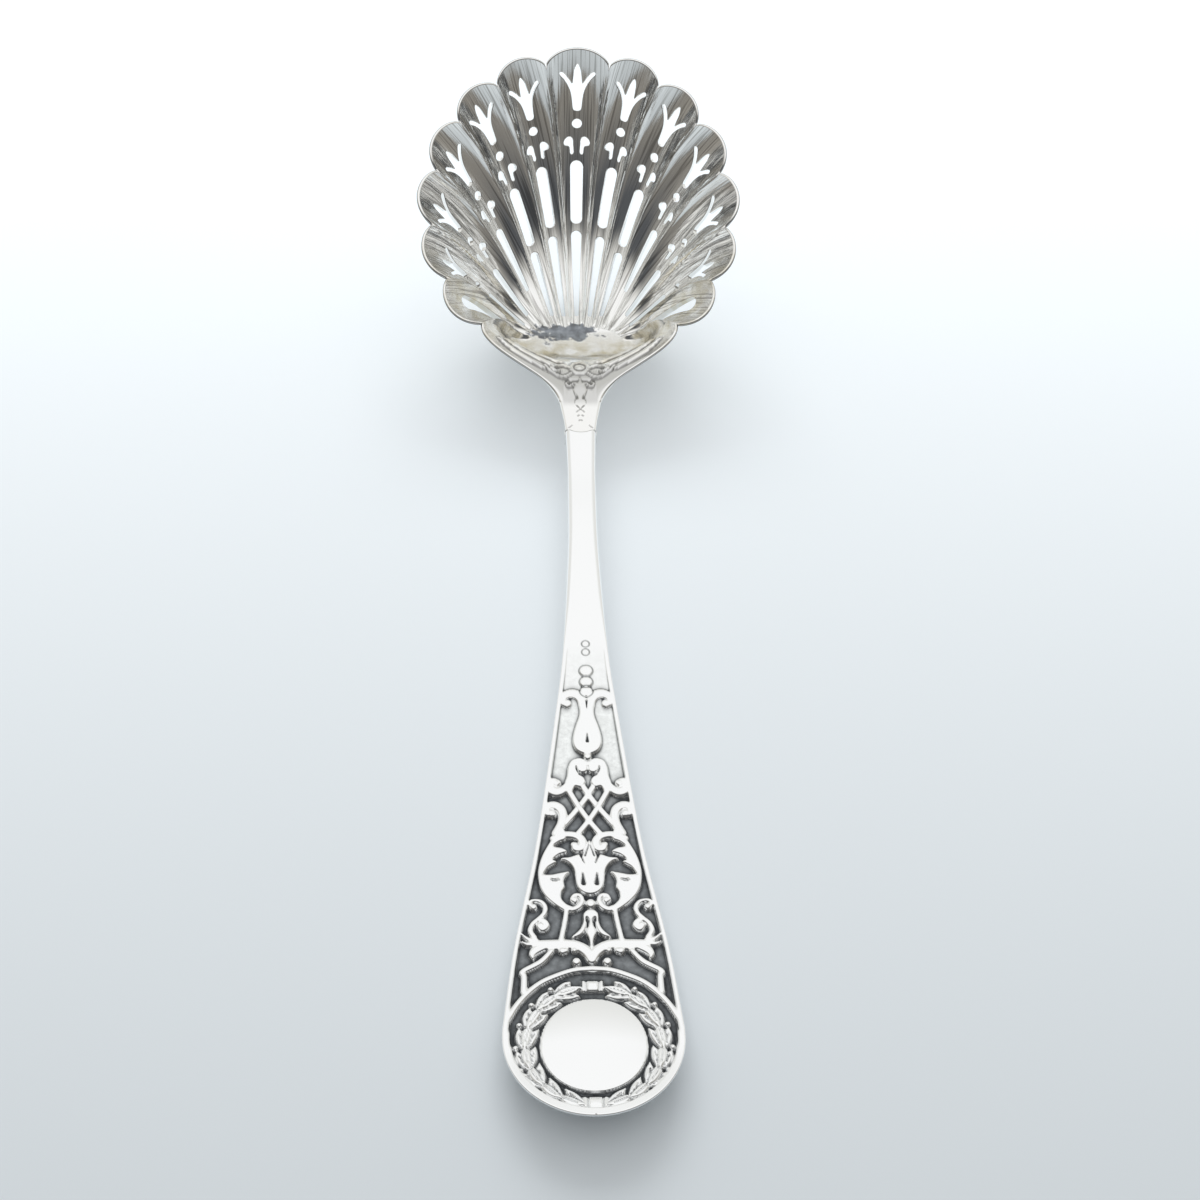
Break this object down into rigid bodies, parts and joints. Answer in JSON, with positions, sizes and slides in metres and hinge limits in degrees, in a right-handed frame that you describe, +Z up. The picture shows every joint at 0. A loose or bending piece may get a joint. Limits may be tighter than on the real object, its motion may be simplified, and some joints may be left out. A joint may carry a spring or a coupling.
{
  "type": "sugar sifter spoon",
  "caption": "Spoon with a deep fluted shell bowl, pierced for sifting sugar, soldered to a slim handle with a relief-decorated rounded end.",
  "frame": {"origin": "middle of the spoon's bounding box, on the table plane it rests on", "axes": "+X across the spoon, +Y from the handle's round end to the bowl's tip, +Z up out of the bowl"},
  "size_m": [0.0498, 0.163, 0.0339],
  "materials": {
    "bowl_silver": "polished silver",
    "handle_silver": "polished silver with a darkened ground",
    "solder": "filed silver solder"
  },
  "bodies": {
    "root": {"bowl": "bowl_silver", "handle": "handle_silver", "solder_seam": "solder"}
  },
  "joints": []
}
